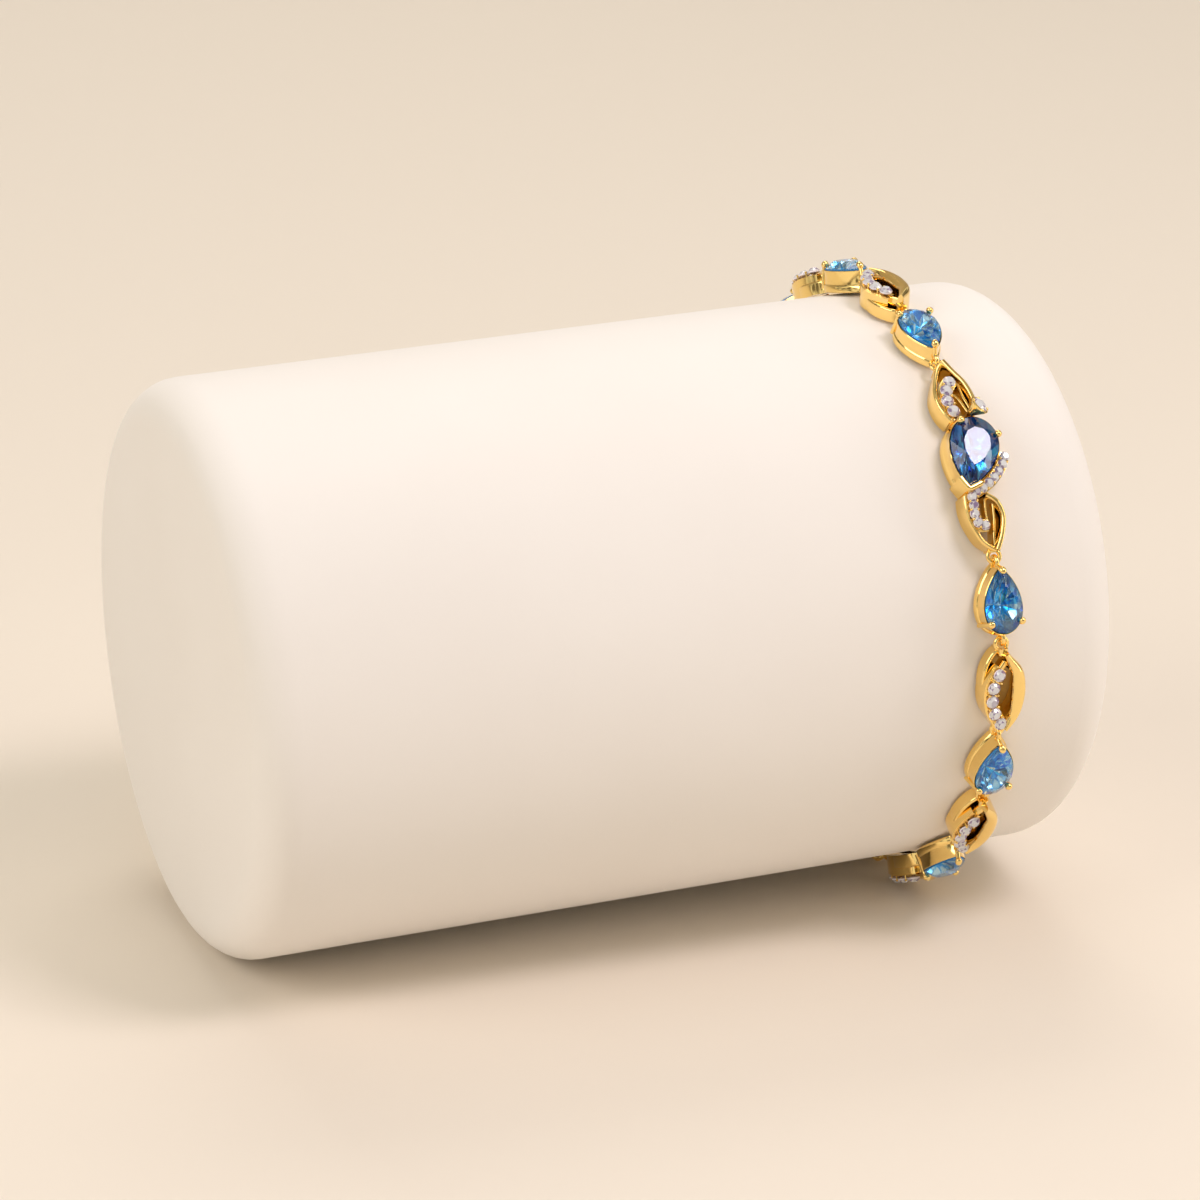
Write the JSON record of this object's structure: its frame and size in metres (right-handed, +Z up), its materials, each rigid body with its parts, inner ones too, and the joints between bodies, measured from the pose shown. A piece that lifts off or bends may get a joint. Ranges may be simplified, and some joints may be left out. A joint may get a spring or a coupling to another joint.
{
  "type": "tennis bracelet on a display roll",
  "caption": "Gold tennis bracelet of blue pear cut links and openwork wave links with pave rows, round a larger pear cut centre, closed on a plain cream display roll.",
  "frame": {"origin": "middle of the underside of the bounding box, on the surface that it lies on", "axes": "+X along the roll towards the bracelet's end, +Z up, -Y towards the front of the bracelet"},
  "size_m": [0.0866, 0.0604, 0.0606],
  "materials": {
    "gold": "polished yellow gold plate",
    "blue_stone": "faceted",
    "dark_blue_stone": "faceted",
    "white_stone": "faceted",
    "cream_cover": "smooth matt"
  },
  "bodies": {
    "root": {"display_roll": "cream_cover", "centre_setting": "gold", "centre_stone": "dark_blue_stone", "accent_stone": "white_stone", "upper_pave_row": "white_stone", "lower_pave_row": "white_stone", "upper_pear_setting_1": "gold", "upper_pear_stone_1": "blue_stone", "upper_wave_link_1": "gold", "upper_wave_pave_1": "white_stone", "upper_pear_setting_2": "gold", "upper_pear_stone_2": "blue_stone", "upper_wave_link_2": "gold", "upper_wave_pave_2": "white_stone", "upper_pear_setting_3": "gold", "upper_pear_stone_3": "blue_stone", "upper_wave_link_3": "gold", "upper_wave_pave_3": "white_stone", "lower_pear_setting_1": "gold", "lower_pear_stone_1": "blue_stone", "lower_wave_link_1": "gold", "lower_wave_pave_1": "white_stone", "lower_pear_setting_2": "gold", "lower_pear_stone_2": "blue_stone", "lower_wave_link_2": "gold", "lower_wave_pave_2": "white_stone", "lower_pear_setting_3": "gold", "lower_pear_stone_3": "blue_stone", "lower_wave_link_3": "gold", "lower_wave_pave_3": "white_stone", "lower_chain": "gold", "upper_chain": "gold", "clasp": "gold"}
  },
  "joints": []
}
